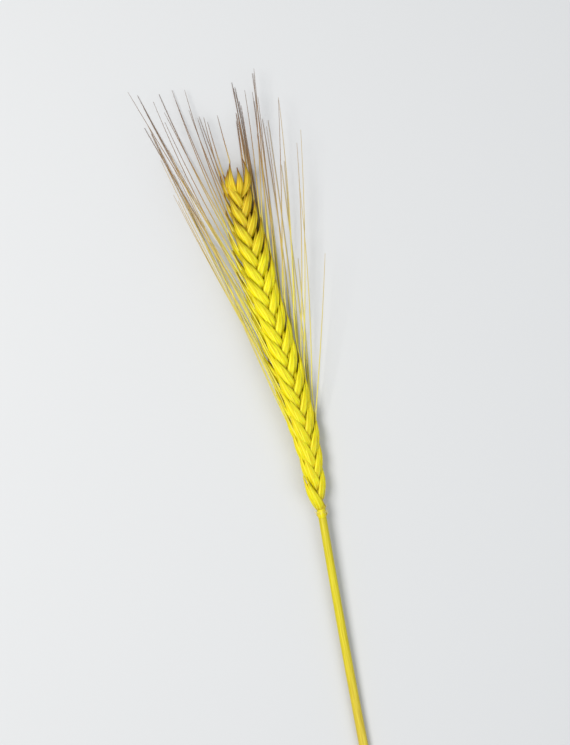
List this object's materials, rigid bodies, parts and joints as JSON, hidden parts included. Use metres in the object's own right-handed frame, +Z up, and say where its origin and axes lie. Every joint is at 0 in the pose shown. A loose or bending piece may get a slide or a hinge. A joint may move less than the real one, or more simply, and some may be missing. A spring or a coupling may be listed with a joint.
{
  "type": "wheat ear",
  "caption": "Bearded wheat ear on a length of cut straw, lying down: overlapping husks in two rows along a bent zigzag axis, with long fine awns spread around it.",
  "frame": {"origin": "on the surface that the ear lies on, under the middle of its box", "axes": "+Z up from that surface, +Y along the straw from its cut end towards the tip of the ear, +X to the right with the ear pointing away"},
  "size_m": [0.0526, 0.228, 0.0164],
  "materials": {
    "ear": "dried husk, dyed lemon yellow, satin",
    "straw": "smooth dried straw, dyed yellow, satin"
  },
  "bodies": {
    "root": {"ear": "ear", "straw": "straw"}
  },
  "joints": []
}
